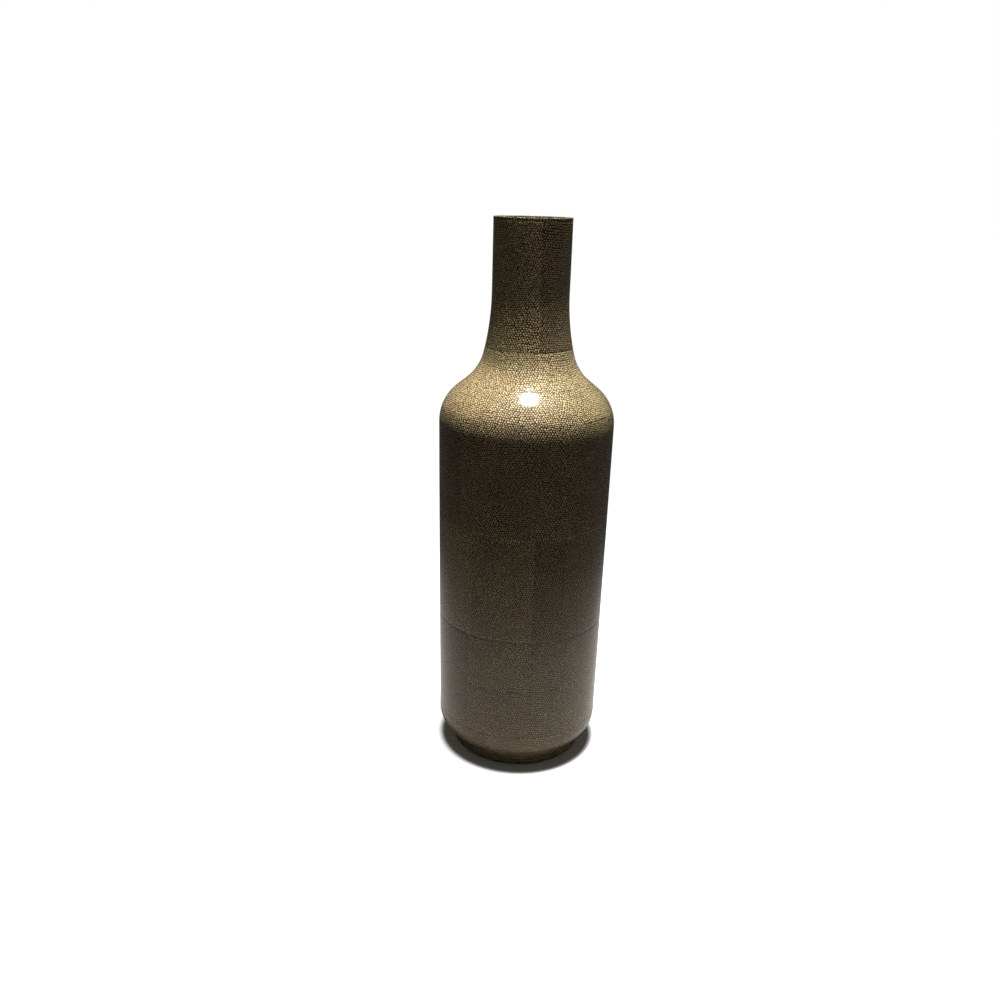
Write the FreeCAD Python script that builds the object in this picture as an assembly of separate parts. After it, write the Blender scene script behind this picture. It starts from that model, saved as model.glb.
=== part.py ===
"""Bottle vase clad in pebbled skin panels, butt joined over a turned core.

Millimetres, +Z up. The origin is the centre of the underside, where the felt meets the table.
The front of the vase faces -Y, and seam shares count turns from there towards +X.
"""
import FreeCAD, Part
import math
import os

from FreeCAD import Vector

# Main sizes
height = 380.0
neck_radius = 25.8
body_radius = 60.2

# Outline of the shoulder and neck, as tangent curves: angles are turns away from upright
shoulder_drop = 134.8
round_radius = 30.0
slope_angle = 51.0
bend_radius = 34.0
flare_angle = 13.5
flare_radius = 172.0

# Outline of the wall and the heel under it
wall_taper = 0.43
heel_height = 24.6
heel_radius = 16.0
foot_set_in = 11.2

# Skins and the gaps round them
skin_thickness = 1.6
glue_line = 0.1
seam_width = 0.4
rim_thickness = 1.6
rim_chamfer = 0.4
rim_set_back = 0.5

# Ring seams. Those on the wall are shares of its height between the heel skins and the shoulder's edge,
# and the seam of the patched panels is a share of the lowest ring.
collar_top_angle = 12.1
shoulder_edge_angle = 20.1
upper_foot_share = 0.6640
middle_foot_share = 0.3320
patch_share = 0.4907
heel_skin_rise = 5.0

# Turned core
neck_wall = 5.6
barrel_wall = 7.0
base_step_height = 27.0
base_floor_height = 33.0
neck_spigot_wall = 4.0
body_spigot_wall = 5.0
spigot_length = 8.0
throat_length = 4.0

# Underside
felt_thickness = 1.5
felt_margin = 2.0
foot_skin_clearance = 0.8

# Upright seams of each ring of skins, as shares of a turn from the front
neck_seam_shares = [0.036, 0.369, 0.703]
collar_seam_shares = [-0.038, 0.064, 0.158, 0.275, 0.392, 0.503, 0.614, 0.728, 0.843]
shoulder_seam_shares = [-0.086, 0.056, 0.200, 0.344, 0.486, 0.628, 0.769]
upper_seam_shares = [-0.130, -0.048, 0.056, 0.183, 0.314, 0.444, 0.575, 0.722]
middle_seam_shares = [-0.097, 0.020, 0.074, 0.196, 0.328, 0.458, 0.590, 0.735]
lower_seam_shares = [-0.107, 0.021, 0.087, 0.222, 0.352, 0.478, 0.603, 0.746]
heel_seam_shares = [-0.067, 0.092, 0.258, 0.425, 0.592, 0.758]
foot_seam_shares = [0.130, 0.630]
patched_panels = (1, 2)

axis_foot = Vector(0, 0, 0)
up = Vector(0, 0, 1)
bed = skin_thickness + glue_line
mouth_radius = neck_radius - bed - neck_wall
barrel_bore_radius = body_radius - bed - barrel_wall
shoulder_height = height - shoulder_drop


def cosine(angle):
    return math.cos(math.radians(angle))


def sine(angle):
    return math.sin(math.radians(angle))


def tangent(angle):
    return math.tan(math.radians(angle))


# A curve of the outline is (centre radius, centre height, radius, side). Side is 1 where the surface
# bulges, with its centre inside the wall, and -1 where it is hollow, with its centre outside.
shoulder_round = (body_radius - round_radius, shoulder_height, round_radius, 1)


def on_curve(curve, angle, inset=0):
    """Point where the surface has turned by angle, moved inwards along its normal by inset."""
    centre_radius, centre_height, radius, side = curve
    reach = side * radius - inset
    return Vector(centre_radius + reach * cosine(angle), 0, centre_height + reach * sine(angle))


def on_wall(level, inset=0):
    """Point of the tapered body wall at a height, moved inwards along its normal by inset."""
    top = on_curve(shoulder_round, -wall_taper)
    radius = top.x - (top.z - level) * tangent(wall_taper)
    return Vector(radius - inset / cosine(wall_taper), 0, level)


def on_neck(level, inset=0):
    """Point of the straight neck at a height, moved inwards by inset."""
    return Vector(neck_radius - inset, 0, level)


def heel_curve():
    """The heel touches the body wall where the wall reaches the heel's height."""
    start_level = heel_height - heel_radius * sine(wall_taper)
    start = on_wall(start_level)
    return (start.x - heel_radius * cosine(wall_taper), heel_height, heel_radius, 1)


def bend_curve():
    """Tighter hollow curve between the shoulder's slope and the flare, found from the radius it reaches."""
    flare_growth = flare_radius * (1 - cosine(flare_angle))
    bend_growth = bend_radius * (cosine(flare_angle) - cosine(slope_angle))
    bend_end_radius = neck_radius + flare_growth + bend_growth
    slope_foot = on_curve(shoulder_round, slope_angle)
    slope_rise = (slope_foot.x - bend_end_radius) / tangent(slope_angle)
    centre_height = slope_foot.z + slope_rise + bend_radius * sine(slope_angle)
    return (bend_end_radius + bend_radius * cosine(slope_angle), centre_height, bend_radius, -1)


def flare_curve():
    """Wide hollow curve that lies tangent to the bend below and to the neck above."""
    join = on_curve(bend_curve(), flare_angle)
    centre_height = join.z + flare_radius * sine(flare_angle)
    return (neck_radius + flare_radius, centre_height, flare_radius, -1)


heel = heel_curve()
bend = bend_curve()
flare = flare_curve()
heel_end_angle = -math.degrees(math.acos((heel_radius - foot_set_in) / heel_radius))
heel_middle_angle = heel_end_angle / 2
bend_middle_angle = (flare_angle + slope_angle) / 2
foot_radius = on_curve(heel, heel_end_angle).x

core_top = height - rim_thickness
shoulder_edge = on_curve(shoulder_round, shoulder_edge_angle).z
lower_foot = heel_height + heel_skin_rise
middle_foot = lower_foot + (shoulder_edge - lower_foot) * middle_foot_share
upper_foot = lower_foot + (shoulder_edge - lower_foot) * upper_foot_share
patch_top = lower_foot + (middle_foot - lower_foot) * patch_share
base_bottom = on_curve(heel, heel_end_angle, bed).z
neck_joint = on_curve(flare, collar_top_angle, bed).z
body_joint = on_curve(shoulder_round, -wall_taper, bed).z


def seam_turn(curve):
    """Angle that the seam takes on a curve of the outline."""
    return math.degrees(seam_width / curve[2])


def bow(curve, start, end):
    """Arc of the outer surface between two angles of one curve."""
    middle = (start + end) / 2
    return Part.Arc(on_curve(curve, start), on_curve(curve, middle), on_curve(curve, end)).toShape()


def line(start, end):
    return Part.LineSegment(start, end).toShape()


def skin_section(front, back):
    """Section of a skin, from the edges of its front and the points of its back.

    The back is straight between its points, as the core under it is. It stops a seam's width short
    of its last point, which is the corner of the core at the ring seam.
    """
    shortening = (back[-2] - back[-1]).normalize() * seam_width
    corners = back[:-1] + [back[-1] + shortening]
    edges = list(front)
    edges.append(line(front[-1].lastVertex().Point, corners[-1]))
    for above, below in zip(corners[:-1], corners[1:]):
        edges.append(line(below, above))
    edges.append(line(corners[0], front[0].firstVertex().Point))
    return Part.Face(Part.Wire(Part.__sortEdges__(edges)))


def neck_section():
    top = core_top - seam_width
    end = collar_top_angle - seam_turn(flare)
    front = [line(on_neck(top), on_curve(flare, 0)), bow(flare, 0, end)]
    back = [
        on_neck(top, skin_thickness),
        on_curve(flare, 0, skin_thickness),
        on_curve(flare, collar_top_angle, skin_thickness),
    ]
    return skin_section(front, back)


def collar_section():
    end = slope_angle - seam_turn(bend)
    front = [bow(flare, collar_top_angle, flare_angle), bow(bend, flare_angle, end)]
    back = [
        on_curve(flare, collar_top_angle, skin_thickness),
        on_curve(flare, flare_angle, skin_thickness),
        on_curve(bend, bend_middle_angle, skin_thickness),
        on_curve(bend, slope_angle, skin_thickness),
    ]
    return skin_section(front, back)


def shoulder_section():
    end = shoulder_edge_angle + seam_turn(shoulder_round)
    slope = line(on_curve(bend, slope_angle), on_curve(shoulder_round, slope_angle))
    front = [slope, bow(shoulder_round, slope_angle, end)]
    back = [
        on_curve(bend, slope_angle, skin_thickness),
        on_curve(shoulder_round, slope_angle, skin_thickness),
        on_curve(shoulder_round, shoulder_edge_angle, skin_thickness),
    ]
    return skin_section(front, back)


def upper_section():
    end = upper_foot + seam_width
    round_end = on_curve(shoulder_round, -wall_taper)
    front = [bow(shoulder_round, shoulder_edge_angle, -wall_taper), line(round_end, on_wall(end))]
    back = [
        on_curve(shoulder_round, shoulder_edge_angle, skin_thickness),
        on_curve(shoulder_round, -wall_taper, skin_thickness),
        on_wall(upper_foot, skin_thickness),
    ]
    return skin_section(front, back)


def wall_section(top, foot):
    """Skin on the tapered wall between two ring seams, with the seam taken off its lower edge."""
    end = foot + seam_width
    front = [line(on_wall(top), on_wall(end))]
    back = [on_wall(top, skin_thickness), on_wall(foot, skin_thickness)]
    return skin_section(front, back)


def heel_section():
    end = heel_end_angle + seam_turn(heel)
    front = [line(on_wall(lower_foot), on_curve(heel, -wall_taper)), bow(heel, -wall_taper, end)]
    back = [
        on_wall(lower_foot, skin_thickness),
        on_curve(heel, -wall_taper, skin_thickness),
        on_curve(heel, heel_middle_angle, skin_thickness),
        on_curve(heel, heel_end_angle, skin_thickness),
    ]
    return skin_section(front, back)


def foot_section():
    """Upright strip round the plinth, from just off the table to a seam's width under the heel."""
    top = on_curve(heel, heel_end_angle).z - seam_width
    back_radius = foot_radius - skin_thickness
    points = [
        Vector(foot_radius, 0, top),
        Vector(foot_radius, 0, foot_skin_clearance),
        Vector(back_radius, 0, foot_skin_clearance),
        Vector(back_radius, 0, top),
    ]
    return Part.Face(Part.makePolygon(points + [points[0]]))


def turned(section, start_share=0, turn_share=1):
    """Solid swept by a section about the upright axis, from one share of a turn over another."""
    front_turn = -90
    swept = section.revolve(axis_foot, up, 360 * turn_share)
    swept.rotate(axis_foot, up, front_turn + 360 * start_share)
    return swept


def turned_outline(points):
    """Solid of revolution from the corners of its half section."""
    return turned(Part.Face(Part.makePolygon(points + [points[0]])))


def save(name, solid):
    solid.exportStep("parts/" + name + ".step")


def panel(section, seam_shares, index):
    """One skin of a ring, from its seam to the next with the seam's width left open."""
    start = seam_shares[index]
    following = seam_shares[index + 1] if index + 1 < len(seam_shares) else seam_shares[0] + 1
    middle_radius = section.CenterOfMass.x
    gap_share = seam_width / (2 * math.pi * middle_radius)
    return turned(section, start + gap_share / 2, following - start - gap_share)


def save_ring(name, section, seam_shares):
    for index in range(len(seam_shares)):
        save("%s_panel_%d" % (name, index + 1), panel(section, seam_shares, index))


def save_lower_ring():
    """Lowest ring of the wall, where some panels are made up of two skins, one above the other."""
    whole = wall_section(middle_foot, lower_foot)
    above = wall_section(middle_foot, patch_top)
    below = wall_section(patch_top, lower_foot)
    for index in range(len(lower_seam_shares)):
        name = "lower_panel_%d" % (index + 1)
        if index + 1 in patched_panels:
            save(name + "_above", panel(above, lower_seam_shares, index))
            save(name + "_below", panel(below, lower_seam_shares, index))
        else:
            save(name, panel(whole, lower_seam_shares, index))


def rim_ring():
    """Flat ring of skin that closes the lip, with both upper edges eased."""
    inner_radius = mouth_radius + rim_set_back
    points = [
        Vector(inner_radius, 0, core_top),
        Vector(inner_radius, 0, height - rim_chamfer),
        Vector(inner_radius + rim_chamfer, 0, height),
        Vector(neck_radius - rim_chamfer, 0, height),
        Vector(neck_radius, 0, height - rim_chamfer),
        Vector(neck_radius, 0, core_top),
    ]
    return turned_outline(points)


def core_neck():
    """Neck tube with a spigot at its foot that is glued into the shoulder."""
    spigot_radius = mouth_radius + neck_spigot_wall
    points = [
        Vector(mouth_radius, 0, core_top),
        on_neck(core_top, bed),
        on_curve(flare, 0, bed),
        on_curve(flare, collar_top_angle, bed),
        Vector(spigot_radius, 0, neck_joint),
        Vector(spigot_radius, 0, neck_joint - spigot_length),
        Vector(mouth_radius, 0, neck_joint - spigot_length),
    ]
    return turned_outline(points)


def core_shoulder():
    """Shoulder with a socket for the neck and a spigot that drops into the barrel."""
    socket_radius = mouth_radius + neck_spigot_wall + glue_line
    socket_floor = neck_joint - spigot_length
    throat_radius = mouth_radius + neck_spigot_wall / 2
    spigot_radius = barrel_bore_radius - glue_line
    spigot_end = body_joint - spigot_length
    cavity_radius = spigot_radius - body_spigot_wall
    points = [
        Vector(socket_radius, 0, neck_joint),
        on_curve(flare, collar_top_angle, bed),
        on_curve(flare, flare_angle, bed),
        on_curve(bend, bend_middle_angle, bed),
        on_curve(bend, slope_angle, bed),
        on_curve(shoulder_round, slope_angle, bed),
        on_curve(shoulder_round, shoulder_edge_angle, bed),
        on_curve(shoulder_round, -wall_taper, bed),
        Vector(spigot_radius, 0, body_joint),
        Vector(spigot_radius, 0, spigot_end),
        Vector(cavity_radius, 0, spigot_end),
        Vector(cavity_radius, 0, body_joint),
        Vector(throat_radius, 0, socket_floor - throat_length),
        Vector(throat_radius, 0, socket_floor),
        Vector(socket_radius, 0, socket_floor),
    ]
    return turned_outline(points)


def core_barrel():
    """Straight-bored tube of the body, tapered outside."""
    points = [
        Vector(barrel_bore_radius, 0, base_step_height),
        on_wall(base_step_height, bed),
        on_curve(shoulder_round, -wall_taper, bed),
        Vector(barrel_bore_radius, 0, body_joint),
    ]
    return turned_outline(points)


def core_base():
    """Disc that closes the barrel: its step carries the barrel, its edge is the heel."""
    step_radius = barrel_bore_radius - glue_line
    points = [
        Vector(0, 0, base_bottom),
        on_curve(heel, heel_end_angle, bed),
        on_curve(heel, heel_middle_angle, bed),
        on_curve(heel, -wall_taper, bed),
        on_wall(base_step_height, bed),
        Vector(step_radius, 0, base_step_height),
        Vector(step_radius, 0, base_floor_height),
        Vector(0, 0, base_floor_height),
    ]
    return turned_outline(points)


def disc(radius, bottom, top):
    return turned_outline(
        [Vector(0, 0, bottom), Vector(radius, 0, bottom), Vector(radius, 0, top), Vector(0, 0, top)]
    )


def main():
    os.makedirs("parts", exist_ok=True)
    save("core_neck", core_neck())
    save("core_shoulder", core_shoulder())
    save("core_barrel", core_barrel())
    save("core_base", core_base())
    save("foot_plinth", disc(foot_radius - bed, felt_thickness, base_bottom))
    save("base_felt", disc(foot_radius - felt_margin, 0, felt_thickness))
    save("rim_ring", rim_ring())
    save_ring("neck", neck_section(), neck_seam_shares)
    save_ring("collar", collar_section(), collar_seam_shares)
    save_ring("shoulder", shoulder_section(), shoulder_seam_shares)
    save_ring("upper", upper_section(), upper_seam_shares)
    save_ring("middle", wall_section(upper_foot, middle_foot), middle_seam_shares)
    save_lower_ring()
    save_ring("heel", heel_section(), heel_seam_shares)
    save_ring("foot", foot_section(), foot_seam_shares)


main()
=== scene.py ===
"""Bottle vase clad in pebbled skins under clear lacquer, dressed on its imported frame.

Laid out as an add-on: one operator makes each ring of skins, one finishes the turned core, one the felt and
one sets the stage. Metres, +Z up, with the origin at the centre of the underside. The front faces -Y, and a
share of a turn counts from there towards +X.
"""
import math
from collections import namedtuple

import bpy
import numpy as np
from bpy.props import FloatProperty, FloatVectorProperty, PointerProperty
from mathutils import Matrix, Vector


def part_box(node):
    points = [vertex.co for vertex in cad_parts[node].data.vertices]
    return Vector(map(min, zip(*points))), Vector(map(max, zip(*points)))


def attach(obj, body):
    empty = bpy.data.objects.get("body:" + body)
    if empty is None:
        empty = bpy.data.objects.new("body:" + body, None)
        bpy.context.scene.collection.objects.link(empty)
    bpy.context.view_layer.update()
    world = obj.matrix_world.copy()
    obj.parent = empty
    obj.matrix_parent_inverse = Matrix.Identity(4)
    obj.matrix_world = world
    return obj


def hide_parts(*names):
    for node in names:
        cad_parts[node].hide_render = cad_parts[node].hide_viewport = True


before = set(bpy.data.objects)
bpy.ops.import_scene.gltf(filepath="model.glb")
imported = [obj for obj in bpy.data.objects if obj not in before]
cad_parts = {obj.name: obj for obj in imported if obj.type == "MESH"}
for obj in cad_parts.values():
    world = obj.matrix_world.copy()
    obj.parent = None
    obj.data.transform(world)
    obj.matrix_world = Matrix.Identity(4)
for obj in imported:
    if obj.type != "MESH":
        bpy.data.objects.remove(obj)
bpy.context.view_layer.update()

bl_info = {
    "name": "Pebbled bottle vase",
    "version": (1, 0, 0),
    "blender": (4, 5, 0),
    "location": "View3D > Sidebar > Vase",
    "description": "Dresses a bottle vase in rings of pebbled skins under clear lacquer",
    "category": "Object",
}

rim_low, rim_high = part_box("rim_ring")


# Sizes and colours that a user may change

def length(name, description, default):
    return FloatProperty(name=name, description=description, default=default, unit="LENGTH", precision=5)


def angle(name, description, degrees):
    return FloatProperty(
        name=name, description=description, default=math.radians(degrees), subtype="ANGLE", unit="ROTATION"
    )


def colour(name, description, default):
    return FloatVectorProperty(
        name=name, description=description, default=default, subtype="COLOR", size=3, min=0, max=1
    )


def amount(name, description, default, **more):
    return FloatProperty(name=name, description=description, default=default, **more)


class VaseOutline(bpy.types.PropertyGroup):
    """The outer outline, a chain of straight runs and tangent arcs from the lip to the foot."""

    height: length("Height", "Height from the table to the lip", rim_high.z)
    neck_radius: length("Neck radius", "Radius of the straight neck", rim_high.x)
    body_radius: length("Body radius", "Largest radius, at the foot of the shoulder's round", 0.0602)
    shoulder_drop: length("Shoulder drop", "From the lip down to the centre of the shoulder's round", 0.1348)
    round_radius: length("Round radius", "Radius of the shoulder's round", 0.030)
    slope_angle: angle("Slope angle", "Turn of the shoulder's slope away from upright", 51)
    bend_radius: length("Bend radius", "Hollow curve above the slope", 0.034)
    flare_angle: angle("Flare angle", "Turn at which the neck's flare meets the bend", 13.5)
    flare_radius: length("Flare radius", "Wide hollow curve at the neck's foot", 0.172)
    wall_taper: angle("Wall taper", "How far the wall leans in towards the foot", 0.43)
    heel_height: length("Heel height", "Height of the heel curve's centre", 0.0246)
    heel_radius: length("Heel radius", "Radius of the heel curve", 0.016)
    foot_set_in: length("Foot set-in", "How far the foot stands back from the heel's widest point", 0.0112)
    foot_clearance: length("Foot clearance", "Height of the foot skins' lower edge over the table", 0.0008)
    rim_thickness: length("Rim thickness", "Thickness of the ring on the lip", rim_high.z - rim_low.z)
    rim_width: length("Rim width", "Width of the ring on the lip", 0.0068)


class VaseSkins(bpy.types.PropertyGroup):
    """The skins, the seams between them and their finish."""

    thickness: length("Thickness", "Thickness of a skin", 0.0016)
    seam_width: length("Seam width", "Gap between two skins", 0.00008)
    edge_easing: length("Edge easing", "How far the edge of a skin is rounded over", 0.00008)
    unevenness: length("Unevenness", "How far the lacquered surface swells and sinks", 0.00005)
    collar_top_angle: angle("Collar seam", "Turn of the surface at the seam between neck and collar", 12.1)
    shoulder_edge_angle: angle("Shoulder seam", "Turn of the surface at the shoulder's lower seam", 20.1)
    upper_foot_share: amount("Upper seam share", "Lower seam of the upper ring, as a share of the wall", 0.6640)
    middle_foot_share: amount("Middle seam share", "Lower seam of the middle ring, likewise", 0.3320)
    patch_share: amount("Patch share", "Cross seam of the patched skins, as a share of the lower ring", 0.4907)
    heel_skin_rise: length("Heel skin rise", "Upper seam of the heel skins over the heel curve's centre", 0.005)
    bead_spacing: length("Bead spacing", "Distance between the beads of the skin", 0.0016)
    bead_pale: colour("Pale beads", "Colour of the palest beads", (1.0, 0.785, 0.45))
    bead_deep: colour("Deep beads", "Colour of the darkest beads", (0.60, 0.455, 0.25))
    gap_colour: colour("Gaps", "Stain between the beads", (0.07, 0.047, 0.024))
    lacquer_roughness: amount("Lacquer roughness", "Roughness of the clear coat", 0.17, min=0, max=1)


class VaseCore(bpy.types.PropertyGroup):
    """The turned wooden core and the felt under it."""

    wood_pale: colour("Pale grain", "Early wood of the stained core", (0.150, 0.092, 0.050))
    wood_deep: colour("Deep grain", "Late wood of the stained core", (0.058, 0.032, 0.017))
    ring_spacing: length("Growth rings", "Distance between the growth rings of the wood", 0.0032)
    tool_spacing: length("Tool marks", "Distance between the fine marks of turning", 0.0007)
    felt_colour: colour("Felt", "Colour of the felt disc", (0.050, 0.043, 0.037))


class VaseStage(bpy.types.PropertyGroup):
    """Floor, lamp and camera."""

    floor_colour: colour("Floor", "Colour of the floor", (0.58, 0.58, 0.62))
    # Bounced and mirrored rays see a painted pool of light: a floor darker than the camera sees, fading out
    # from the vase.
    painted_pool_bounce_colour: colour("Floor bounce", "Colour with which the floor lights the vase", (0.275, 0.257, 0.203))
    painted_pool_mirrored_colour: colour("Mirrored floor", "Colour of the floor in the lacquer", (0.38, 0.375, 0.365))
    floor_radius: length("Floor radius", "Radius of the floor", 4.0)
    lamp_place: FloatVectorProperty(
        name="Lamp place", description="Where the soft box hangs", default=(0.047, -0.012, 1.9),
        subtype="TRANSLATION", unit="LENGTH", size=3, precision=4,
    )
    lamp_width: length("Lamp width", "Width of the oval soft box from side to side", 0.06)
    lamp_depth: length("Lamp depth", "Depth of the oval soft box from front to back", 0.25)
    lamp_spread: angle("Lamp spread", "Spread that the soft box's grid lets through", 34)
    lamp_power: amount("Lamp power", "Power of the soft box in watts", 2.65)
    lamp_colour: colour("Lamp colour", "Colour of the soft box", (1.0, 0.97, 0.93))
    fill_strength: amount("Fill", "Strength of the room's soft fill", 0.105)
    fill_colour: colour("Fill colour", "Colour of the room's soft fill", (1.0, 0.97, 0.75))
    gloss_share: amount("Gloss share", "Share of the white room that the lacquer mirrors", 0.05)
    lens: amount("Lens", "Focal length in millimetres", 32.76)
    camera_place: FloatVectorProperty(
        name="Camera place", description="Where the camera stands", default=(-0.0168, -0.6131, 0.3945),
        subtype="TRANSLATION", unit="LENGTH", size=3, precision=4,
    )
    camera_dip: angle("Camera dip", "How far the camera looks down", 18.69)
    camera_roll: angle("Camera roll", "How far the camera is turned about its own axis", 1.48)


# The outline

Outline = namedtuple("Outline", "start radius height turn curvature")


def make_outline(sizes):
    """Runs of the outline from the lip down.

    The turn of the surface, the angle of its outward normal above level, stays the same on a straight run
    and grows evenly along an arc. Each run starts where the last one ends.
    """
    slope, flare, taper = sizes.slope_angle, sizes.flare_angle, -sizes.wall_taper
    shoulder_height = sizes.height - sizes.shoulder_drop
    bend_end_radius = (
        sizes.neck_radius
        + sizes.flare_radius * (1 - math.cos(flare))
        + sizes.bend_radius * (math.cos(flare) - math.cos(slope))
    )
    slope_foot_radius = sizes.body_radius - sizes.round_radius * (1 - math.cos(slope))
    slope_length = (slope_foot_radius - bend_end_radius) / math.sin(slope)
    flare_height = (
        shoulder_height
        + (sizes.round_radius + sizes.bend_radius) * math.sin(slope)
        + slope_length * math.cos(slope)
        + (sizes.flare_radius - sizes.bend_radius) * math.sin(flare)
    )
    lip = sizes.height - sizes.rim_thickness
    wall_drop = shoulder_height - sizes.heel_height + (sizes.round_radius - sizes.heel_radius) * math.sin(taper)
    heel_end = -math.acos(1 - sizes.foot_set_in / sizes.heel_radius)
    lengths = [
        lip - flare_height,
        sizes.flare_radius * flare,
        sizes.bend_radius * (slope - flare),
        slope_length,
        sizes.round_radius * (slope - taper),
        wall_drop / math.cos(taper),
        sizes.heel_radius * (taper - heel_end),
    ]
    turns = [0, 0, flare, slope, slope, taper, taper, heel_end]
    return chain_of_runs(lengths, turns, sizes.neck_radius, lip)


def chain_of_runs(lengths, turns, radius_at_top, top):
    """Outline of runs with their lengths and the turns at their ends, each a chord of its arc."""
    start, radius, height, curvature = [0.0], [radius_at_top], [top], []
    for run, first, last in zip(lengths, turns[:-1], turns[1:]):
        middle = (first + last) / 2
        chord = run * float(np.sinc((last - first) / math.tau))
        curvature.append((last - first) / run)
        start.append(start[-1] + run)
        radius.append(radius[-1] + chord * math.sin(middle))
        height.append(height[-1] - chord * math.cos(middle))
    curvature.append(0.0)
    return Outline(*(np.array(column) for column in (start, radius, height, turns, curvature)))


def on_outline(outline, path, inset=0.0):
    """Radius and height at a length of path down the outline, moved inwards along the normal.

    Within a run the point lies at the end of a chord: path length times the sine of half the change of turn
    over that half, in the direction of the mean turn.
    """
    run = np.clip(np.searchsorted(outline.start, path, side="right") - 1, 0, len(outline.start) - 2)
    along = path - outline.start[run]
    turn = outline.turn[run] + outline.curvature[run] * along
    middle = (turn + outline.turn[run]) / 2
    chord = along * np.sinc((turn - outline.turn[run]) / math.tau)
    radius = outline.radius[run] + chord * np.sin(middle) - inset * np.cos(turn)
    height = outline.height[run] - chord * np.cos(middle) - inset * np.sin(turn)
    return radius, height


def ring_seams(outline, sizes, skins):
    """Path lengths of the ring seams from the lip to the foot of the heel skins, and of the core's corners."""
    flare_start, bend_start, slope_start, round_start = outline.start[1:5]
    wall_start, wall_height, heel_start = outline.start[5], outline.height[5], outline.start[6]
    shoulder_edge = round_start + sizes.round_radius * (sizes.slope_angle - skins.shoulder_edge_angle)
    edge_height = float(on_outline(outline, np.array([shoulder_edge]))[1][0])
    lower_foot = sizes.heel_height + skins.heel_skin_rise
    middle_foot = lower_foot + (edge_height - lower_foot) * skins.middle_foot_share
    upper_foot = lower_foot + (edge_height - lower_foot) * skins.upper_foot_share
    patch_top = lower_foot + (middle_foot - lower_foot) * skins.patch_share

    def wall_path(level):
        return wall_start + (wall_height - level) / math.cos(sizes.wall_taper)

    return {
        "lip": 0.0,
        "collar": flare_start + sizes.flare_radius * skins.collar_top_angle,
        "bend_middle": (bend_start + slope_start) / 2,
        "slope": slope_start,
        "edge": shoulder_edge,
        "upper": wall_path(upper_foot),
        "middle": wall_path(middle_foot),
        "patch": wall_path(patch_top),
        "lower": wall_path(lower_foot),
        "heel_middle": heel_start + (outline.start[7] - heel_start) / 2,
        "foot": outline.start[7],
    }


# The skins. Upright seams lie at shares of a turn, and a tone multiplies the colour of a hide.

SEAM_SHARES = {
    "neck": (0.036, 0.369, 0.703),
    "collar": (-0.038, 0.064, 0.158, 0.275, 0.392, 0.503, 0.614, 0.728, 0.843),
    "shoulder": (-0.086, 0.056, 0.200, 0.344, 0.486, 0.628, 0.769),
    "upper": (-0.130, -0.048, 0.056, 0.183, 0.314, 0.444, 0.575, 0.722),
    "middle": (-0.097, 0.020, 0.074, 0.196, 0.328, 0.458, 0.590, 0.735),
    "lower": (-0.107, 0.021, 0.087, 0.222, 0.352, 0.478, 0.603, 0.746),
    "heel": (-0.067, 0.092, 0.258, 0.425, 0.592, 0.758),
    "foot": (0.130, 0.630),
}
# Ring tones are partly the hides' own tone and partly painted light and shade: the top-lit collar and shoulder
# are paler, the neck and walls darker, and the recessed foot darkest, where shade falls.
RING_TONE_AND_SHADE = {
    "rim": 0.72, "neck": 0.74, "collar": 0.93, "shoulder": 0.84, "upper": 0.70, "middle": 0.72, "lower": 0.71,
    "heel": 0.72, "foot": 0.60,
}
# The two neck tones are partly painted light and shade: the skin on the lamp's side is darker and the one on
# the far side paler, against the light's fall from side to side. The middle and lower tones are the hides' own.
SKIN_TONE_AND_SHADE = {
    "neck_skin_1": 0.88, "neck_skin_3": 1.14, "middle_skin_1": 1.03, "middle_skin_2": 0.89,
    "middle_skin_3": 0.96, "middle_skin_8": 1.12, "lower_skin_8": 0.95,
}
TONE_DRIFT = (0.95, 1.05)
PATCHED = (1, 2)  # places of the lower ring that hold two skins, one above the other
GRID_DOWN, GRID_ACROSS, ROLL_STOPS = 0.0025, 0.0020, 5  # steps of the grid, and stops on a rolled edge
LAYING_DEPTH = 0.00005  # how much deeper one skin may sink in its glue than another
HIDE_REACH = 1.5  # how far out on the endless pattern a skin's own piece may be taken
SWELL_WAVES = ((3, 38, 0.0), (7, -61, 1.7), (11, 97, 4.1))  # waves in a turn, radians in a metre, start
RIM_EASING_SHARE, RIM_STEPS, CORNER_STEPS = 0.15, 160, 6


def eased_stops(size, easing, step):
    """Stops from one edge to the other: close together where the edge rolls over, even in between.

    Over the roll the distance from the edge is the easing times one less the cosine of the roll's angle.
    """
    roll = easing * (1 - np.cos(np.linspace(0, math.pi / 2, ROLL_STOPS)))
    count = max(3, round((size - 2 * easing) / step) + 1)
    middle = np.linspace(easing, size - easing, count)[1:-1]
    return np.concatenate([roll, middle, size - roll[::-1]])


def shell_faces(rows, columns):
    """Quads of a closed shell: the front grid, the same grid behind it, and the band that joins their edges."""
    front = np.arange(rows * columns).reshape(rows, columns)
    quads = np.stack([front[:-1, :-1], front[1:, :-1], front[1:, 1:], front[:-1, 1:]], -1).reshape(-1, 4)
    edge = np.concatenate([front[0, :-1], front[:-1, -1], front[-1, :0:-1], front[:0:-1, 0]])
    following = np.roll(edge, -1)
    back = rows * columns
    band = np.stack([edge, following, following + back, edge + back], -1)
    return np.concatenate([quads, quads[:, ::-1] + back, band])


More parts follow.
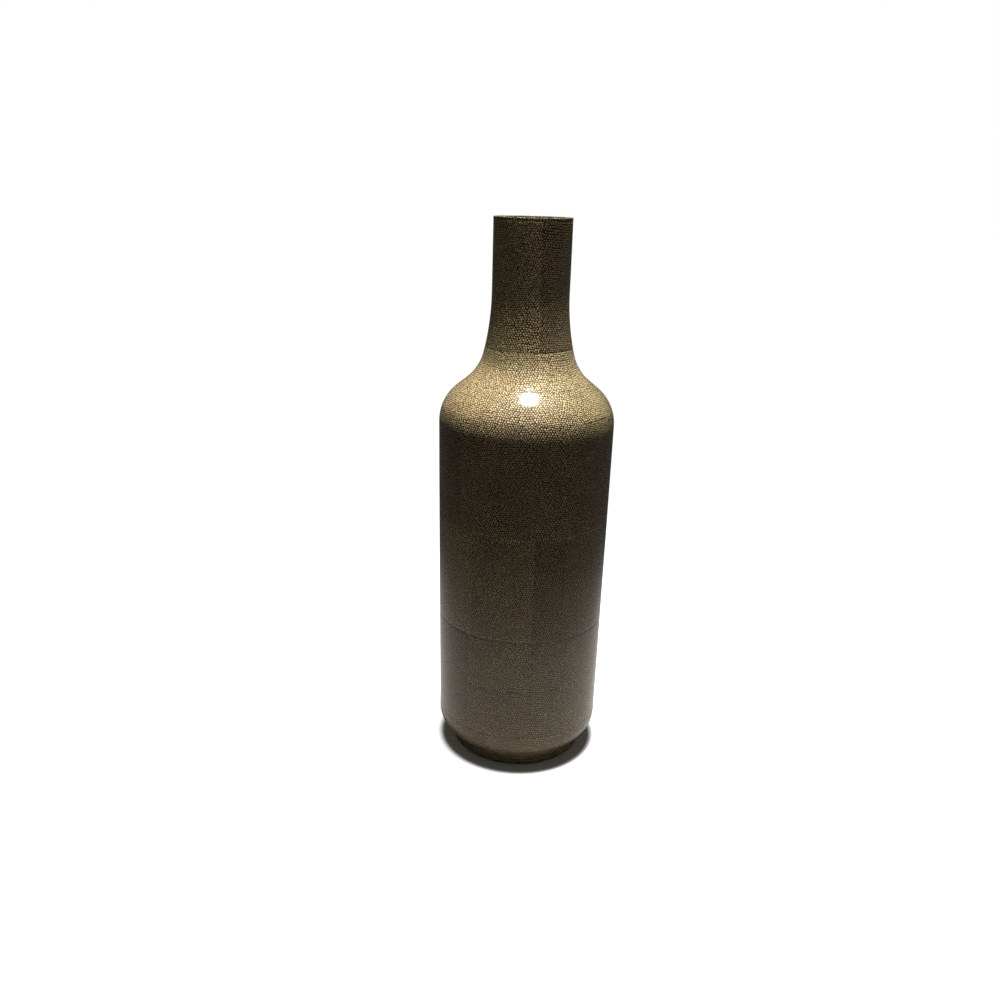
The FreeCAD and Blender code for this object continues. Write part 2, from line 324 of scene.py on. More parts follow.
def add_hide(name, points, faces, flat, edge_distance, tone):
    """Mesh of a piece of hide, with its pattern laid out flat in metres for each corner of each face."""
    mesh = bpy.data.meshes.new(name)
    mesh.from_pydata(points.tolist(), [], faces.tolist())
    layer = mesh.uv_layers.new(name="hide")
    layer.data.foreach_set("uv", flat.ravel())
    mesh.attributes.new("edge_distance", "FLOAT", "POINT").data.foreach_set("value", edge_distance)
    # The tone holds painted light and shade of the ring as well as the hide's own tone.
    mesh.attributes.new("hide_tone", "FLOAT", "POINT").data.foreach_set("value", np.full(len(points), tone))
    mesh.shade_smooth()
    piece = bpy.data.objects.new(name, mesh)
    bpy.context.scene.collection.objects.link(piece)
    return piece


def swell(share, path, height):
    """Uneven surface of a hand-laid skin: the mean of slow waves, each a sine of turn and path together."""
    turn = share * math.tau
    waves = sum(np.sin(count * turn + slope * path + start) for count, slope, start in SWELL_WAVES)
    return height * waves / len(SWELL_WAVES)


def skin(name, outline, back_stops, span, shares, ring, skins):
    """One skin between two ring seams and two upright seams, on a grid of path length and share of a turn.

    The front is the outline turned about the axis. Near an edge it rolls over as a quarter circle: the inset
    is the easing less the root of its square less the square of what is left of the easing. The back runs
    straight between the points of the turned core.
    """
    chance = np.random.default_rng(sum(map(ord, name)))
    top, foot = span
    middle_radius = float(on_outline(outline, np.array([(top + foot) / 2]))[0][0])
    gap = skins.seam_width / (math.tau * middle_radius)
    first, last = shares[0] + gap / 2, shares[1] - gap / 2
    width = (last - first) * math.tau * middle_radius
    down = eased_stops(foot - top, skins.edge_easing, GRID_DOWN)
    across = eased_stops(width, skins.edge_easing, GRID_ACROSS)
    down_grid, across_grid = np.meshgrid(down, across, indexing="ij")
    path = top + down_grid
    share = first + (last - first) * across_grid / width
    from_edge = np.minimum(
        np.minimum(down_grid, down[-1] - down_grid), np.minimum(across_grid, width - across_grid)
    )
    left = np.clip(skins.edge_easing - from_edge, 0, None)
    roll = skins.edge_easing - np.sqrt(skins.edge_easing ** 2 - left ** 2)
    inset = roll + swell(share, path, skins.unevenness) + chance.uniform(0, LAYING_DEPTH)
    front_radius, front_height = on_outline(outline, path, inset)
    stops = np.array([top] + [stop for stop in back_stops if top < stop < foot] + [foot])
    stop_radius, stop_height = on_outline(outline, stops, skins.thickness)
    back_radius = np.interp(path, stops, stop_radius)
    back_height = np.interp(path, stops, stop_height)
    radius = np.concatenate([front_radius.ravel(), back_radius.ravel()])
    height = np.concatenate([front_height.ravel(), back_height.ravel()])
    turn = np.tile(share.ravel(), 2) * math.tau
    points = np.stack([radius * np.sin(turn), -radius * np.cos(turn), height], -1)
    plain_radius = on_outline(outline, path)[0]
    flat = np.stack([(share - (first + last) / 2) * math.tau * plain_radius, -down_grid], -1).reshape(-1, 2)
    flat = np.tile(flat, (2, 1)) + chance.uniform(-HIDE_REACH, HIDE_REACH, 2)
    # The ring's tone is partly painted light and shade; the skin's own tone and the drift belong to the hide.
    tone = RING_TONE_AND_SHADE[ring] * SKIN_TONE_AND_SHADE.get(name, 1.0) * chance.uniform(*TONE_DRIFT)
    faces = shell_faces(len(down), len(across))
    return add_hide(name, points, faces, flat[faces], np.tile(from_edge.ravel(), 2), tone)


def following_share(seam_shares, index):
    """Share of the next upright seam: after the last one comes the first, a turn further on."""
    return seam_shares[index + 1] if index + 1 < len(seam_shares) else seam_shares[0] + 1


def settle(piece, material, slot, *nodes):
    """Gives a piece its material and lets it stand for its CAD nodes; the slot is not used."""
    piece.data.materials.append(material)
    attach(piece, "root")
    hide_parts(*nodes)


def lay_ring(scene, ring, outline, seams, spans):
    """Lays all the skins of a ring. A place may hold several skins, one above the other."""
    skins = scene.vase_skins
    material = pebbled_skin(skins)
    back_stops = sorted(list(outline.start) + list(seams.values()))
    seam_shares = SEAM_SHARES[ring]
    for index, share in enumerate(seam_shares):
        shares = (share, following_share(seam_shares, index))
        for ending, (top, foot) in spans(index):
            name = "%s_skin_%d%s" % (ring, index + 1, ending)
            start = seams[top] + (skins.seam_width if top == "lip" else 0)
            end = seams[foot] - skins.seam_width
            piece = skin(name, outline, back_stops, (start, end), shares, ring, skins)
            settle(piece, material, "skin", "%s_panel_%d%s" % (ring, index + 1, ending))


def lay_plain_ring(scene, ring, top, foot):
    """Lays a ring whose places hold one skin each."""
    outline = make_outline(scene.vase_outline)
    seams = ring_seams(outline, scene.vase_outline, scene.vase_skins)
    lay_ring(scene, ring, outline, seams, lambda index: [("", (top, foot))])


def lip_ring(scene):
    """Flat ring of hide on the lip: a rounded oblong section carried round the axis.

    The section runs down the outer side, in under the ring, up the inner side and out over the top. Each of
    its corners is a quarter circle, and the points lie on a grid of section and share of a turn.
    """
    sizes = scene.vase_outline
    easing, steps = sizes.rim_thickness * RIM_EASING_SHARE, RIM_STEPS
    inner, outer = sizes.neck_radius - sizes.rim_width + easing, sizes.neck_radius - easing
    low, high = sizes.height - sizes.rim_thickness + easing, sizes.height - easing
    corner_radius = np.repeat([outer, outer, inner, inner], CORNER_STEPS)
    corner_height = np.repeat([high, low, low, high], CORNER_STEPS)
    quarters = math.pi / 2 * np.array([1, 0, -1, -2])
    around = np.concatenate([np.linspace(start, start - math.pi / 2, CORNER_STEPS) for start in quarters])
    radius = corner_radius + easing * np.cos(around)
    height = corner_height + easing * np.sin(around)
    rows = len(radius)
    turn = np.arange(steps) / steps * math.tau
    points = np.stack(
        [radius[:, None] * np.sin(turn), -radius[:, None] * np.cos(turn), height[:, None] + 0 * turn], -1
    ).reshape(-1, 3)
    row, column = np.meshgrid(np.arange(rows), np.arange(steps), indexing="ij")
    rows_of_face = np.stack([row, row + 1, row + 1, row], -1).reshape(-1, 4)
    columns_of_face = np.stack([column, column, column + 1, column + 1], -1).reshape(-1, 4)
    faces = rows_of_face % rows * steps + columns_of_face % steps
    section = np.hypot(np.diff(radius, append=radius[0]), np.diff(height, append=height[0]))
    path = np.concatenate([[0.0], np.cumsum(section)])
    flat = np.stack([columns_of_face / steps * math.tau * (inner + outer) / 2, -path[rows_of_face]], -1)
    return add_hide("lip_ring", points, faces, flat, np.ones(len(points)), RING_TONE_AND_SHADE["rim"])


# Shader helpers

WHITE = (1, 1, 1, 1)
HALF = (0.5, 0.5, 0.5)


def solid(value):
    return (*value, 1.0)


def shader_node(tree, kind, inputs=None, **settings):
    """A node with its settings. A socket given as an input is linked, and a value is set on the input."""
    node = tree.nodes.new(kind)
    for name, value in settings.items():
        setattr(node, name, value)
    for name, value in (inputs or {}).items():
        if isinstance(value, bpy.types.NodeSocket):
            tree.links.new(value, node.inputs[name])
        else:
            node.inputs[name].default_value = value
    return node


def calculate(tree, operation, *values):
    node = shader_node(tree, "ShaderNodeMath", dict(enumerate(values)), operation=operation)
    return node.outputs[0]


def ramp(tree, value, low, high, start=0.0, end=1.0, kind="SMOOTHSTEP"):
    node = shader_node(
        tree, "ShaderNodeMapRange", {0: value, 1: low, 2: high, 3: start, 4: end}, interpolation_type=kind
    )
    return node.outputs[0]


def blend(tree, factor, first, second, kind="MIX"):
    """Mix of two colours, by index because the node has sockets of the same name for other kinds of data."""
    node = shader_node(
        tree, "ShaderNodeMix", {0: factor, 6: first, 7: second}, data_type="RGBA", blend_type=kind
    )
    return node.outputs[2]


def vector_math(tree, operation, *values):
    node = shader_node(tree, "ShaderNodeVectorMath", dict(enumerate(values)), operation=operation)
    return node.outputs[0]


def stretch(tree, vector, factors):
    return vector_math(tree, "MULTIPLY", vector, factors)


def vector_length(tree, vector):
    return shader_node(tree, "ShaderNodeVectorMath", {0: vector}, operation="LENGTH").outputs["Value"]


def new_group(name, inputs, outputs):
    """An empty node group with its named sockets: each input is a name, a kind and a default."""
    group = bpy.data.node_groups.new(name, "ShaderNodeTree")
    for socket_name, kind, default in inputs:
        socket = group.interface.new_socket(socket_name, in_out="INPUT", socket_type="NodeSocket" + kind)
        if default is not None:
            socket.default_value = default
    for socket_name, kind in outputs:
        group.interface.new_socket(socket_name, in_out="OUTPUT", socket_type="NodeSocket" + kind)
    return group, group.nodes.new("NodeGroupInput").outputs, group.nodes.new("NodeGroupOutput").inputs


# The patterns. A span is the part of a pattern's range over which something changes.

CLOUD_SPAN = (0.32, 0.68)
HONEYCOMB = math.sqrt(3)
BEAD_PULLS = ((0.045, 4.0), (0.40, 0.60))  # noise scale and reach of the slow pull and the quick one, in beads
BEAD_STRAY = 0.24  # how far the middle of a bead may stray in its cell, in beads
BEAD_TOP = 0.15  # radius at which a bead begins to fall off, in beads
# Darker hides get smaller beads and darker gaps: painted bead contrast, which stands for grazing light on the
# beads' relief on the shaded walls.
BEAD_EDGE = (0.60, 0.90, 0.39, 0.52)  # two tones of hide and the radius of the beads at each
BEAD_SHADES = (0.78, 1.22)
BEAD_ROUGHNESS = (0.62, 0.34)  # between the beads and on them
STAIN_AND_SHADE_POWER = 3.0
STAINED_EDGE = (0.0001, 0.0005, 0.88, 1.0)  # two distances from a skin's edge and the tone at each
HIDE_DRIFTS = ((21.0, (0.92, 0.99, 0.90, 1)), (34.0, (1.03, 0.94, 0.93, 1)))  # cloud scale and tint
WEAR_SCALE, WEAR = 48.0, (0.93, 1.07)
LATE_WOOD_SPAN, PORE_SPAN, FELT_SPAN = (0.25, 0.95), (0.35, 0.62), (0.38, 0.72)
TREE_HEART = (0.09, -0.05, 0.0)  # the way from the heart of the tree to the vase's axis
GRAIN_WAVE = 0.02


def cloud_group():
    """Soft cloudy variation between two levels, for hides, stained wood and felt alike."""
    if "Soft clouds" in bpy.data.node_groups:
        return bpy.data.node_groups["Soft clouds"]
    group, given, result = new_group(
        "Soft clouds",
        [("Vector", "Vector", None), ("Scale", "Float", 25.0), ("Low", "Float", 0.9), ("High", "Float", 1.1)],
        [("Value", "Float")],
    )
    noise = shader_node(
        group, "ShaderNodeTexNoise", {"Vector": given["Vector"], "Scale": given["Scale"], "Detail": 0.6}
    )
    level = ramp(group, noise.outputs[0], *CLOUD_SPAN, given["Low"], given["High"])
    group.links.new(level, result["Value"])
    return group


def clouds(tree, vector, scale, low, high):
    return shader_node(
        tree, "ShaderNodeGroup", {"Vector": vector, "Scale": scale, "Low": low, "High": high},
        node_tree=cloud_group(),
    ).outputs[0]


def pebble_group():
    """Close-set beads of polished hide: each cell is a bead, pale in its middle, and the stain lies between.

    The cells are a honeycomb, pulled about by a slow and a quick noise so that no row runs straight. It is
    made of two oblong grids, the second set in the gaps of the first. In each grid the fraction of the place
    gives the way from the bead's middle, the whole part gives the bead its chance numbers, and the nearer
    middle of the two wins. A hide of a darker tone has smaller beads and holds more stain: painted contrast,
    as grazing light on the beads' relief gives the shaded walls.
    """
    if "Pebbled hide" in bpy.data.node_groups:
        return bpy.data.node_groups["Pebbled hide"]
    group, given, result = new_group(
        "Pebbled hide",
        [
            ("Vector", "Vector", None),
            ("Place", "Vector", None),
            ("Bead Spacing", "Float", 0.0016),
            ("Pale Bead", "Color", None),
            ("Deep Bead", "Color", None),
            ("Gap", "Color", None),
            ("Tone", "Float", 1.0),
            ("Edge Distance", "Float", 1.0),
        ],
        [("Color", "Color"), ("Roughness", "Float"), ("Height", "Float")],
    )
    per_bead = calculate(group, "DIVIDE", 1.0, given["Bead Spacing"])
    cells = shader_node(
        group, "ShaderNodeVectorMath", {0: given["Vector"], "Scale": per_bead}, operation="SCALE"
    ).outputs[0]
    for scale, reach in BEAD_PULLS:
        pull = shader_node(
            group, "ShaderNodeTexNoise", {"Vector": cells, "Scale": scale, "Detail": 0.0}, noise_dimensions="2D"
        ).outputs[1]
        pull = stretch(group, vector_math(group, "SUBTRACT", pull, HALF), (reach, reach, reach))
        cells = vector_math(group, "ADD", cells, pull)
    nearness, chances = [], []
    for offset in (0.0, 0.5):
        oblong = stretch(group, cells, (1, 1 / HONEYCOMB, 0))
        oblong = vector_math(group, "ADD", oblong, (offset, offset, offset))
        cell = vector_math(group, "ADD", vector_math(group, "FLOOR", oblong), (0, 0, offset))
        chance = shader_node(
            group, "ShaderNodeTexWhiteNoise", {"Vector": cell}, noise_dimensions="3D"
        ).outputs["Color"]
        way = vector_math(group, "SUBTRACT", vector_math(group, "FRACTION", oblong), (0.5, 0.5, offset))
        stray = stretch(group, vector_math(group, "SUBTRACT", chance, HALF), (BEAD_STRAY, BEAD_STRAY, 0))
        way = vector_math(group, "SUBTRACT", stretch(group, way, (1, HONEYCOMB, 0)), stray)
        nearness.append(vector_length(group, way))
        chances.append(chance)
    second_wins = calculate(group, "LESS_THAN", nearness[1], nearness[0])
    # Smaller beads and darker stain on a darker hide paint the stronger bead contrast that grazing light gives
    # the shaded walls.
    bead_edge = ramp(group, given["Tone"], *BEAD_EDGE, "LINEAR")
    on_bead = ramp(group, calculate(group, "MINIMUM", *nearness), BEAD_TOP, bead_edge, 1.0, 0.0)
    chance = shader_node(group, "ShaderNodeSeparateColor", {0: blend(group, second_wins, *chances)})
    shade = blend(group, chance.outputs[0], given["Deep Bead"], given["Pale Bead"])
    own = ramp(group, chance.outputs[2], 0.0, 1.0, *BEAD_SHADES, "LINEAR")
    shade = blend(group, 1.0, shade, own, "MULTIPLY")
    stain = calculate(group, "POWER", given["Tone"], STAIN_AND_SHADE_POWER)
    hide = blend(group, on_bead, blend(group, 1.0, given["Gap"], stain, "MULTIPLY"), shade)
    for scale, tint in HIDE_DRIFTS:
        drift = blend(group, clouds(group, given["Place"], scale, 0.0, 0.9), WHITE, tint)
        hide = blend(group, 1.0, hide, drift, "MULTIPLY")
    # The tone darkens the whole hide: partly its own tone, partly painted light and shade of its ring.
    worn_and_shaded = calculate(group, "MULTIPLY", clouds(group, given["Place"], WEAR_SCALE, *WEAR), given["Tone"])
    worn_and_shaded = calculate(group, "MULTIPLY", worn_and_shaded, ramp(group, given["Edge Distance"], *STAINED_EDGE))
    group.links.new(blend(group, 1.0, hide, worn_and_shaded, "MULTIPLY"), result["Color"])
    group.links.new(ramp(group, on_bead, 0.0, 1.0, *BEAD_ROUGHNESS), result["Roughness"])
    group.links.new(on_bead, result["Height"])
    return group


def new_material(name):
    material = bpy.data.materials.new(name)
    material.use_nodes = True
    shader = material.node_tree.nodes["Principled BSDF"]
    return material, material.node_tree, shader


def pebbled_skin(skins):
    """Polished hide under clear lacquer, on the flat layout of each skin."""
    if "Pebbled skin" in bpy.data.materials:
        return bpy.data.materials["Pebbled skin"]
    material, tree, shader = new_material("Pebbled skin")
    flat = shader_node(tree, "ShaderNodeUVMap", uv_map="hide")
    place = shader_node(tree, "ShaderNodeTexCoord")
    # The tone attribute holds painted light and shade of the ring as well as the hide's own tone.
    tone = shader_node(tree, "ShaderNodeAttribute", attribute_name="hide_tone")
    edge = shader_node(tree, "ShaderNodeAttribute", attribute_name="edge_distance")
    pattern = shader_node(
        tree, "ShaderNodeGroup",
        {
            "Vector": flat.outputs[0],
            "Place": place.outputs["Object"],
            "Bead Spacing": skins.bead_spacing,
            "Pale Bead": solid(skins.bead_pale),
            "Deep Bead": solid(skins.bead_deep),
            "Gap": solid(skins.gap_colour),
            "Tone": tone.outputs["Fac"],
            "Edge Distance": edge.outputs["Fac"],
        },
        node_tree=pebble_group(),
    )
    bump = shader_node(
        tree, "ShaderNodeBump", {"Height": pattern.outputs["Height"], "Strength": 0.9, "Distance": 0.0002}
    )
    tree.links.new(pattern.outputs["Color"], shader.inputs["Base Color"])
    tree.links.new(pattern.outputs["Roughness"], shader.inputs["Roughness"])
    tree.links.new(bump.outputs[0], shader.inputs["Normal"])
    shader.inputs["Specular IOR Level"].default_value = 0.25
    shader.inputs["Coat Weight"].default_value = 0.85
    shader.inputs["Coat Roughness"].default_value = skins.lacquer_roughness
    return material


def turned_wood(core):
    """Stained wood turned on a lathe: stretched growth rings, pores along the grain and fine tool marks."""
    material, tree, shader = new_material("Turned wood")
    place = shader_node(tree, "ShaderNodeTexCoord").outputs["Object"]
    bent = shader_node(
        tree, "ShaderNodeTexNoise", {"Vector": stretch(tree, place, (1, 1, 0.15)), "Scale": 22.0, "Detail": 2.0}
    ).outputs[0]
    from_heart = vector_length(tree, vector_math(tree, "ADD", stretch(tree, place, (1, 1, 0.02)), TREE_HEART))
    wavy = calculate(tree, "MULTIPLY_ADD", bent, GRAIN_WAVE, from_heart)
    year = calculate(tree, "FRACT", calculate(tree, "DIVIDE", wavy, core.ring_spacing))
    grain = blend(tree, ramp(tree, year, *LATE_WOOD_SPAN), solid(core.wood_pale), solid(core.wood_deep))
    pores = shader_node(
        tree, "ShaderNodeTexNoise",
        {"Vector": stretch(tree, place, (1, 1, 0.04)), "Scale": 1400.0, "Detail": 2.0},
    ).outputs[0]
    grain = blend(tree, 1.0, grain, ramp(tree, pores, *PORE_SPAN, 0.62, 1.06), "MULTIPLY")
    grain = blend(tree, 1.0, grain, clouds(tree, place, 40.0, 0.82, 1.15), "MULTIPLY")
    tree.links.new(grain, shader.inputs["Base Color"])
    tree.links.new(ramp(tree, pores, *PORE_SPAN, 0.72, 0.52), shader.inputs["Roughness"])
    level = shader_node(tree, "ShaderNodeSeparateXYZ", {0: place}).outputs["Z"]
    marks = calculate(tree, "SINE", calculate(tree, "MULTIPLY", level, math.tau / core.tool_spacing))
    relief = calculate(tree, "MULTIPLY_ADD", marks, 0.25, pores)
    bump = shader_node(tree, "ShaderNodeBump", {"Height": relief, "Strength": 0.5, "Distance": 0.00008})
    tree.links.new(bump.outputs[0], shader.inputs["Normal"])
    return material


def wool_felt(core):
    """Pressed wool: matted fibres as stretched noise laid two ways, over cloudy patches."""
    material, tree, shader = new_material("Wool felt")
    place = shader_node(tree, "ShaderNodeTexCoord").outputs["Object"]
    fibres = [
        shader_node(
            tree, "ShaderNodeTexNoise",
            {"Vector": stretch(tree, place, factors), "Scale": 1500.0, "Detail": 3.0, "Distortion": 1.2},
        ).outputs[0]
        for factors in ((1, 0.22, 1), (0.22, 1, 1))
    ]
    matted = calculate(tree, "MAXIMUM", *fibres)
    tint = ramp(tree, matted, *FELT_SPAN, 0.55, 1.5)
    shade = blend(tree, 1.0, solid(core.felt_colour), tint, "MULTIPLY")
    shade = blend(tree, 1.0, shade, clouds(tree, place, 60.0, 0.85, 1.15), "MULTIPLY")
    bump = shader_node(tree, "ShaderNodeBump", {"Height": matted, "Strength": 0.8, "Distance": 0.0003})
    tree.links.new(shade, shader.inputs["Base Color"])
    tree.links.new(bump.outputs[0], shader.inputs["Normal"])
    tree.links.new(ramp(tree, matted, *FELT_SPAN, 1.0, 0.86), shader.inputs["Roughness"])
    shader.inputs["Specular IOR Level"].default_value = 0.15
    shader.inputs["Sheen Weight"].default_value = 0.25
    return material


def finish_node(name, material):
    """Puts a material on a CAD node that shows as it is."""
    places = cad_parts[name].material_slots
    if not places:
        raise RuntimeError("the node %s has no material slot" % name)
    for place in places:
        place.material = material


# The operators

class VASE_OT_lip_ring(bpy.types.Operator):
    """Lay the ring of hide that closes the lip"""

    bl_idname = "vase.lip_ring"
    bl_label = "Lip ring"

    def execute(self, context):
        settle(lip_ring(context.scene), pebbled_skin(context.scene.vase_skins), "skin", "rim_ring")
        return {"FINISHED"}


class VASE_OT_neck_skins(bpy.types.Operator):
    """Lay the tall skins of the straight neck"""

    bl_idname = "vase.neck_skins"
    bl_label = "Neck skins"

    def execute(self, context):
        lay_plain_ring(context.scene, "neck", "lip", "collar")
        return {"FINISHED"}


class VASE_OT_collar_skins(bpy.types.Operator):
    """Lay the hollow skins between the neck and the shoulder's slope"""

    bl_idname = "vase.collar_skins"
    bl_label = "Collar skins"

    def execute(self, context):
        lay_plain_ring(context.scene, "collar", "collar", "slope")
        return {"FINISHED"}


class VASE_OT_shoulder_skins(bpy.types.Operator):
    """Lay the skins of the shoulder's slope and the top of its round"""

    bl_idname = "vase.shoulder_skins"
    bl_label = "Shoulder skins"

    def execute(self, context):
        lay_plain_ring(context.scene, "shoulder", "slope", "edge")
        return {"FINISHED"}


class VASE_OT_upper_skins(bpy.types.Operator):
    """Lay the upper ring of the wall, which turns over the shoulder's round"""

    bl_idname = "vase.upper_skins"
    bl_label = "Upper skins"

    def execute(self, context):
        lay_plain_ring(context.scene, "upper", "edge", "upper")
        return {"FINISHED"}


class VASE_OT_middle_skins(bpy.types.Operator):
    """Lay the middle ring of the wall"""

    bl_idname = "vase.middle_skins"
    bl_label = "Middle skins"

    def execute(self, context):
        lay_plain_ring(context.scene, "middle", "upper", "middle")
        return {"FINISHED"}


class VASE_OT_lower_skins(bpy.types.Operator):
    """Lay the lower ring of the wall, with its two patched places"""

    bl_idname = "vase.lower_skins"
    bl_label = "Lower skins"

    def execute(self, context):
        scene = context.scene
        outline = make_outline(scene.vase_outline)
        seams = ring_seams(outline, scene.vase_outline, scene.vase_skins)

        def spans(index):
            if index + 1 in PATCHED:
                return [("_above", ("middle", "patch")), ("_below", ("patch", "lower"))]
            return [("", ("middle", "lower"))]

        lay_ring(scene, "lower", outline, seams, spans)
        return {"FINISHED"}


class VASE_OT_heel_skins(bpy.types.Operator):
    """Lay the skins that turn under the wall at the heel"""

    bl_idname = "vase.heel_skins"
    bl_label = "Heel skins"

    def execute(self, context):
        lay_plain_ring(context.scene, "heel", "lower", "foot")
        return {"FINISHED"}


class VASE_OT_foot_skins(bpy.types.Operator):
    """Lay the upright strips round the recessed foot"""

    bl_idname = "vase.foot_skins"
    bl_label = "Foot skins"

    def execute(self, context):
        scene = context.scene
        outline = make_outline(scene.vase_outline)
        radius, top = outline.radius[-1], outline.height[-1]
        drop = top - scene.vase_outline.foot_clearance + scene.vase_skins.seam_width
        strip = chain_of_runs([drop], [0, 0], radius, top)
        lay_ring(scene, "foot", strip, {"lip": 0.0, "foot": drop}, lambda index: [("", ("lip", "foot"))])
        return {"FINISHED"}


class VASE_OT_turned_core(bpy.types.Operator):
    """Finish the turned core and the plinth under it in stained wood"""

    bl_idname = "vase.turned_core"
    bl_label = "Turned core"

    def execute(self, context):
        material = turned_wood(context.scene.vase_core)
        for name in ("core_neck", "core_shoulder", "core_barrel", "core_base", "foot_plinth"):
            finish_node(name, material)
        return {"FINISHED"}


class VASE_OT_felt_disc(bpy.types.Operator):
    """Finish the disc under the foot in dark wool felt"""

    bl_idname = "vase.felt_disc"
    bl_label = "Felt disc"

    def execute(self, context):
        finish_node("base_felt", wool_felt(context.scene.vase_core))
        return {"FINISHED"}


class VASE_OT_stage(bpy.types.Operator):
    """Set the pale floor, the soft overhead light and the camera"""

    bl_idname = "vase.stage"
    bl_label = "Stage"

    def execute(self, context):
        stage = context.scene.vase_stage
        add_floor(stage)
        add_lamp(stage)
        set_world(context.scene, stage)
        add_camera(context.scene, stage)
        context.scene.view_settings.view_transform = "Standard"
        return {"FINISHED"}


# The stage. A fade is two distances from the middle of the floor and the share at each.

FLOOR_RINGS, FLOOR_SPOKES, FLOOR_LEVEL = 24, 96, -0.00005
# Painted pools of light round the vase, seen only by bounced and mirrored rays.
PAINTED_POOL_BOUNCE_FADE = (0.10, 0.32, 1.0, 0.08)
PAINTED_POOL_MIRRORED_FADE = (0.18, 0.50, 1.0, 0.06)
# Where the white backdrop begins paints the crisp outer edge of the lamp's shadow, and a faint white lightens
# the shadow within.
BACKDROP_AND_SHADOW_EDGE_FADE = (0.055, 0.061, 0.008, 1.0)


def kinds_of_ray(tree):
    """Whether a ray sees the plain white backdrop, and the outputs that tell its kind.

    The camera's rays see the backdrop, and so do those that go through glass.
    """
    kinds = shader_node(tree, "ShaderNodeLightPath").outputs
    return calculate(tree, "MAXIMUM", kinds["Is Camera Ray"], kinds["Is Transmission Ray"]), kinds


def floor_disc(outer_radius):
    """Disc of rings and spokes a hair under the felt: a ring's radius grows as the square of its number."""
    radius = outer_radius * np.linspace(0, 1, FLOOR_RINGS)[1:] ** 2
    turn = np.arange(FLOOR_SPOKES) / FLOOR_SPOKES * math.tau
    radius_grid, turn_grid = np.meshgrid(radius, turn, indexing="ij")
    level = 0 * turn_grid + FLOOR_LEVEL
    points = np.stack([radius_grid * np.cos(turn_grid), radius_grid * np.sin(turn_grid), level], -1)
    points = np.concatenate([points.reshape(-1, 3), [[0.0, 0.0, FLOOR_LEVEL]]])
    grid = np.arange(len(points) - 1).reshape(-1, FLOOR_SPOKES)
    after = np.roll(grid, -1, axis=1)
    quads = np.stack([grid[:-1], grid[1:], after[1:], after[:-1]], -1).reshape(-1, 4)
    fan = np.stack([np.full(FLOOR_SPOKES, len(points) - 1), grid[0], after[0]], -1)
    mesh = bpy.data.meshes.new("floor")
    mesh.from_pydata(points.tolist(), [], quads.tolist() + fan.tolist())
    return mesh


def floor_finish(stage):
    """Matt floor that shows the vase's shadow and plain white beyond, darker to bounced and mirrored rays."""
    material, tree, shader = new_material("Floor")
    seen, kinds = kinds_of_ray(tree)
    distance = vector_length(tree, shader_node(tree, "ShaderNodeTexCoord").outputs["Object"])
    ground = solid(stage.floor_colour)
    # Bounced and mirrored rays see a darker floor with a painted pool of light that fades out from the vase.
    for kind, shade, fade in (
        ("Is Diffuse Ray", stage.painted_pool_bounce_colour, PAINTED_POOL_BOUNCE_FADE),
        ("Is Glossy Ray", stage.painted_pool_mirrored_colour, PAINTED_POOL_MIRRORED_FADE),
    ):
        painted_pool = blend(tree, 1.0, solid(shade), ramp(tree, distance, *fade), "MULTIPLY")
        ground = blend(tree, kinds[kind], ground, painted_pool)
    gloss = calculate(tree, "MULTIPLY", kinds["Is Glossy Ray"], stage.gloss_share)
    white = calculate(tree, "MAXIMUM", seen, gloss)
    # The white begins at the painted outer edge of the vase's shadow, and a faint white lightens the shadow
    # inside it.
    white = calculate(tree, "MULTIPLY", white, ramp(tree, distance, *BACKDROP_AND_SHADOW_EDGE_FADE))
    tree.links.new(ground, shader.inputs["Base Color"])
    tree.links.new(white, shader.inputs["Emission Strength"])
    shader.inputs["Emission Color"].default_value = WHITE
    shader.inputs["Roughness"].default_value = 0.9
    shader.inputs["Specular IOR Level"].default_value = 0.0
    return material


def add_floor(stage):
    mesh = floor_disc(stage.floor_radius)
    mesh.materials.append(floor_finish(stage))
    floor = bpy.data.objects.new("floor", mesh)
    bpy.context.scene.collection.objects.link(floor)


def add_lamp(stage):
    """Oval soft box over the shoulder's front, whose mirrored spot lies on the slope."""
    light = bpy.data.lights.new("soft_box", "AREA")
    light.shape = "ELLIPSE"
    light.size = stage.lamp_width
    light.size_y = stage.lamp_depth
    light.spread = stage.lamp_spread
    light.energy = stage.lamp_power
    light.color = stage.lamp_colour
    lamp = bpy.data.objects.new("soft_box", light)
    lamp.location = stage.lamp_place
    bpy.context.scene.collection.objects.link(lamp)


def set_world(scene, stage):
    """White to the camera, and to the vase a dim warm room: a soft fill, and less of it in the lacquer."""
    world = bpy.data.worlds.new("Studio")
    world.use_nodes = True
    tree = world.node_tree
    seen, kinds = kinds_of_ray(tree)
    background = tree.nodes["Background"]
    tree.links.new(blend(tree, seen, solid(stage.fill_colour), WHITE), background.inputs["Color"])
    room = ramp(tree, kinds["Is Glossy Ray"], 0.0, 1.0, stage.fill_strength, stage.gloss_share, "LINEAR")
    tree.links.new(calculate(tree, "MAXIMUM", seen, room), background.inputs["Strength"])
    scene.world = world


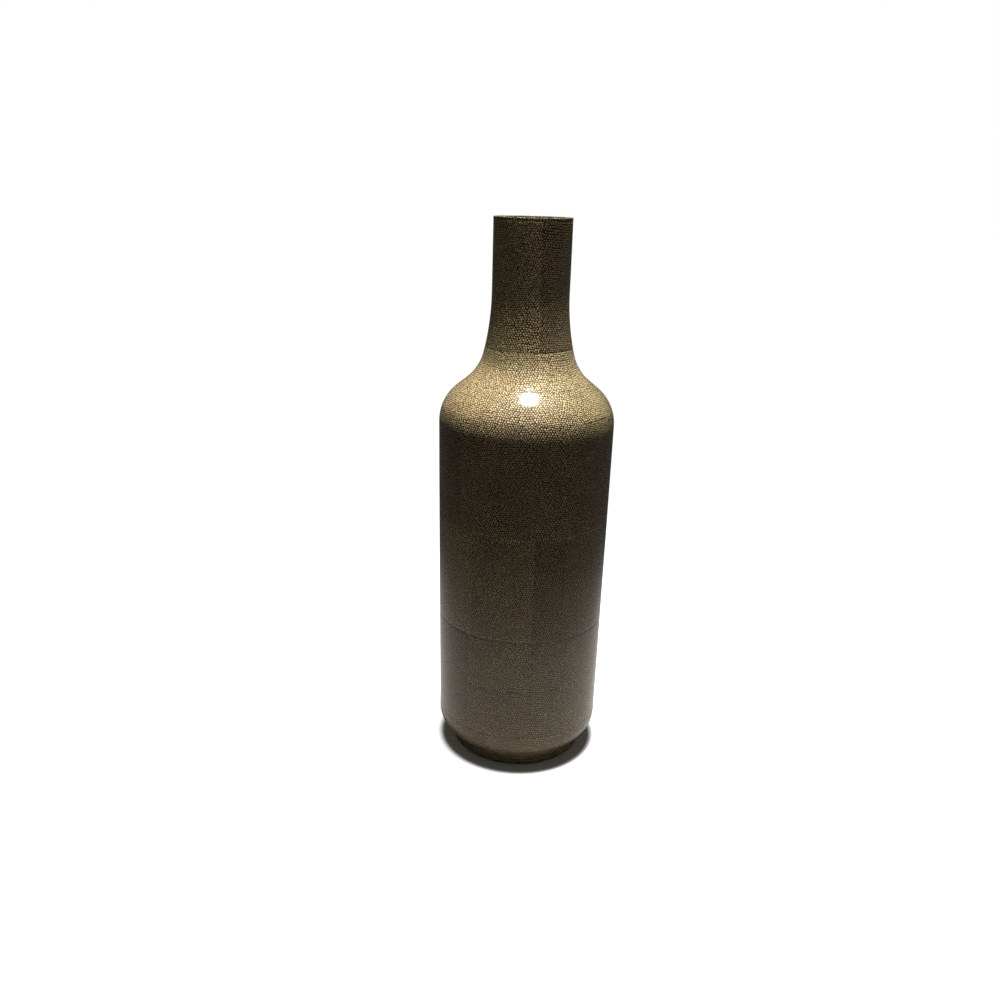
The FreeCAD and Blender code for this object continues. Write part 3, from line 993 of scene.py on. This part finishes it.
def add_camera(scene, stage):
    """Camera at the photo's angle: tipped down from level, then turned about its own axis."""
    camera = bpy.data.objects.new("camera", bpy.data.cameras.new("camera"))
    camera.data.lens = stage.lens
    camera.data.sensor_width = 36
    tip = Matrix.Rotation(math.pi / 2 - stage.camera_dip, 4, "X")
    roll = Matrix.Rotation(stage.camera_roll, 4, "Z")
    camera.matrix_world = Matrix.Translation(Vector(stage.camera_place)) @ tip @ roll
    scene.collection.objects.link(camera)
    scene.camera = camera


class VASE_PT_panel(bpy.types.Panel):
    """Lists the steps that dress the vase"""

    bl_idname = "VASE_PT_panel"
    bl_label = "Bottle vase"
    bl_space_type = "VIEW_3D"
    bl_region_type = "UI"
    bl_category = "Vase"

    def draw(self, context):
        for step in STEPS:
            self.layout.operator(step.bl_idname)


STEPS = (
    VASE_OT_lip_ring,
    VASE_OT_neck_skins,
    VASE_OT_collar_skins,
    VASE_OT_shoulder_skins,
    VASE_OT_upper_skins,
    VASE_OT_middle_skins,
    VASE_OT_lower_skins,
    VASE_OT_heel_skins,
    VASE_OT_foot_skins,
    VASE_OT_turned_core,
    VASE_OT_felt_disc,
    VASE_OT_stage,
)
GROUPS = {"vase_outline": VaseOutline, "vase_skins": VaseSkins, "vase_core": VaseCore, "vase_stage": VaseStage}


def register():
    for kind in (*GROUPS.values(), *STEPS, VASE_PT_panel):
        bpy.utils.register_class(kind)
    for name, kind in GROUPS.items():
        setattr(bpy.types.Scene, name, PointerProperty(type=kind))


def unregister():
    for name in GROUPS:
        delattr(bpy.types.Scene, name)
    for kind in reversed((*GROUPS.values(), *STEPS, VASE_PT_panel)):
        bpy.utils.unregister_class(kind)


def main():
    register()
    bpy.ops.vase.lip_ring()
    bpy.ops.vase.neck_skins()
    bpy.ops.vase.collar_skins()
    bpy.ops.vase.shoulder_skins()
    bpy.ops.vase.upper_skins()
    bpy.ops.vase.middle_skins()
    bpy.ops.vase.lower_skins()
    bpy.ops.vase.heel_skins()
    bpy.ops.vase.foot_skins()
    bpy.ops.vase.turned_core()
    bpy.ops.vase.felt_disc()
    bpy.ops.vase.stage()


if __name__ == "__main__":
    main()
